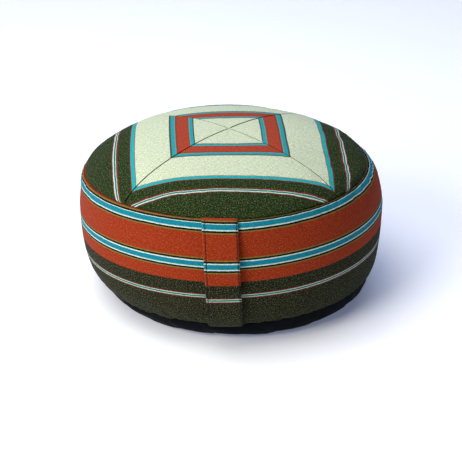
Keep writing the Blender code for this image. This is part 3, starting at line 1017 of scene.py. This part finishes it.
def canvas(name, stripes, seam_shaded=False, span=0.16):
    """Handwoven cotton canvas: matt, with uneven threads, and flecked with the undyed fibre spun into them.

    span is the length of cloth, in metres, that its stripes are laid out in.
    """
    material, tree, shader = new_material(name, roughness=0.95, gloss=0.08)
    place = add_node(tree, "ShaderNodeUVMap", uv_map="cloth").outputs["UV"]
    in_mm = add_node(
        tree, "ShaderNodeVectorMath", operation="SCALE", links=[(0, place)], inputs=[("Scale", 1000.0)]
    ).outputs["Vector"]
    parts = add_node(tree, "ShaderNodeSeparateXYZ", links=[("Vector", place)])
    dyed, spun = stripe_chart(tree, in_mm, parts.outputs["Y"], stripes, span)
    woven = uneven_threads(tree, in_mm)
    colour = with_thread_tone(tree, dyed, woven)
    colour = with_melange(tree, colour, in_mm, spun)
    colour = with_slubs(tree, colour, in_mm, spun)
    # Painted shade: the top cloth is painted near black where it turns into its mitre seams.
    if seam_shaded:
        colour = with_painted_seam_shade(tree, colour)
    tree.links.new(colour, shader.inputs["Base Color"])
    tree.links.new(weave_bump(tree, parts, woven), shader.inputs["Normal"])
    shader.inputs["Sheen Weight"].default_value = 0.03
    shader.inputs["Sheen Roughness"].default_value = 0.5
    return material


def mottled(tree, scale, darker, lighter):
    """A tone that wanders between two colours over the object."""
    place = add_node(tree, "ShaderNodeTexCoord").outputs["Object"]
    grain = add_node(tree, "ShaderNodeTexNoise", links=[("Vector", place)], inputs=[("Scale", scale)])
    tone = add_node(tree, "ShaderNodeValToRGB", links=[("Fac", grain.outputs["Fac"])])
    tone.color_ramp.elements[0].color = linear(darker)
    tone.color_ramp.elements[1].color = linear(lighter)
    return tone.outputs["Color"]


def sewing_thread(name):
    """Spun polyester thread, near black: a fine even line with a faint satin gloss."""
    material, tree, shader = new_material(name, roughness=0.7, gloss=0.15)
    tree.links.new(mottled(tree, 1800.0, "#08090b", "#15171b"), shader.inputs["Base Color"])
    return material


def studio_paper(name):
    """Seamless white paper: matt, burnt out by the lights, with a faint painted cool glow that lifts its
    shadows.
    """
    material, tree, shader = new_material(name, roughness=0.95, gloss=0.5)
    tree.links.new(mottled(tree, 40.0, "#fcfcfd", "#feffff"), shader.inputs["Base Color"])
    # Painted light: the paper glows faintly cool, which lifts and tints its shadows.
    shader.inputs["Emission Color"].default_value = linear("#c8d6ff")
    shader.inputs["Emission Strength"].default_value = 0.21
    return material


# ---------------------------------------------------------------- studio


def make_floor():
    bpy.ops.object.select_all(action="DESELECT")
    bpy.ops.mesh.primitive_plane_add(size=12.0, location=(0.0, 0.0, -0.0002))
    floor = bpy.context.object
    floor.name = "studio_floor"
    floor.data.materials.append(studio_paper("white_background_paper"))


LIT_POINT = (0.0, 0.0, 0.08)


def soft_box(name, place, size, power, colour):
    """A square soft box turned to the cushion: its place and side are in metres, its power in watts."""
    light = bpy.data.lights.new(name, "AREA")
    light.shape = "SQUARE"
    light.size = size
    light.energy = power
    light.color = linear(colour)[:3]
    obj = bpy.data.objects.new(name, light)
    bpy.context.scene.collection.objects.link(obj)
    obj.location = place
    aim = Vector(LIT_POINT) - obj.location
    obj.rotation_euler = aim.to_track_quat("-Z", "Y").to_euler()


def make_lights():
    soft_box("key_soft_box", (-1.24, -1.44, 1.18), 0.85, 25.0, "#fffaf0")
    soft_box("left_soft_box", (-1.69, -0.79, 1.25), 1.0, 10.5, "#fffaf0")
    soft_box("overhead_soft_box", (-0.64, -0.32, 2.15), 1.6, 30.0, "#fffdf8")
    soft_box("back_left_soft_box", (-0.78, 0.78, 1.99), 1.6, 12.5, "#d3dfff")
    soft_box("back_right_soft_box", (0.5, 0.98, 1.99), 1.6, 17.0, "#cddaff")
    world = bpy.data.worlds.new("studio_air")
    world.use_nodes = True
    sky = world.node_tree.nodes["Background"]
    sky.inputs["Color"].default_value = linear("#dfe6ff")
    sky.inputs["Strength"].default_value = 0.01
    bpy.context.scene.world = world
    bpy.context.scene.view_settings.view_transform = "Standard"


def make_camera():
    data = bpy.data.cameras.new("camera")
    data.sensor_width = 36.0
    data.lens = 109.0
    camera = bpy.data.objects.new("camera", data)
    bpy.context.scene.collection.objects.link(camera)
    camera.location = (MIDDLE[0] - 0.0057, MIDDLE[1] - 1.3880, 0.7487)
    camera.rotation_euler = (math.radians(90 - 26.456), 0.0, math.radians(-0.2306))
    bpy.context.scene.camera = camera


def main():
    make_camera()
    make_floor()
    make_lights()
    top_canvas = canvas("striped_cotton_canvas_top", stripes=TOP_STRIPES, seam_shaded=True)
    band_canvas = canvas("striped_cotton_canvas_band", stripes=BAND_STRIPES)
    navy_canvas = canvas("plain_navy_canvas", stripes=((0.0, "navy"),))
    thread = sewing_thread("dark_sewing_thread")
    give = settled_cover()
    top_row, low_row = len(COVER_CROWN) - 1, len(COVER_CROWN) + len(COVER_BAND) - 2
    for number, quarter in enumerate(QUARTERS):
        make_quarter(number, quarter, give[: top_row + 1], top_canvas)
    make_band(give[top_row : low_row + 1], band_canvas)
    make_bottom(give[low_row:], navy_canvas)
    make_strap(band_canvas, thread)


main()
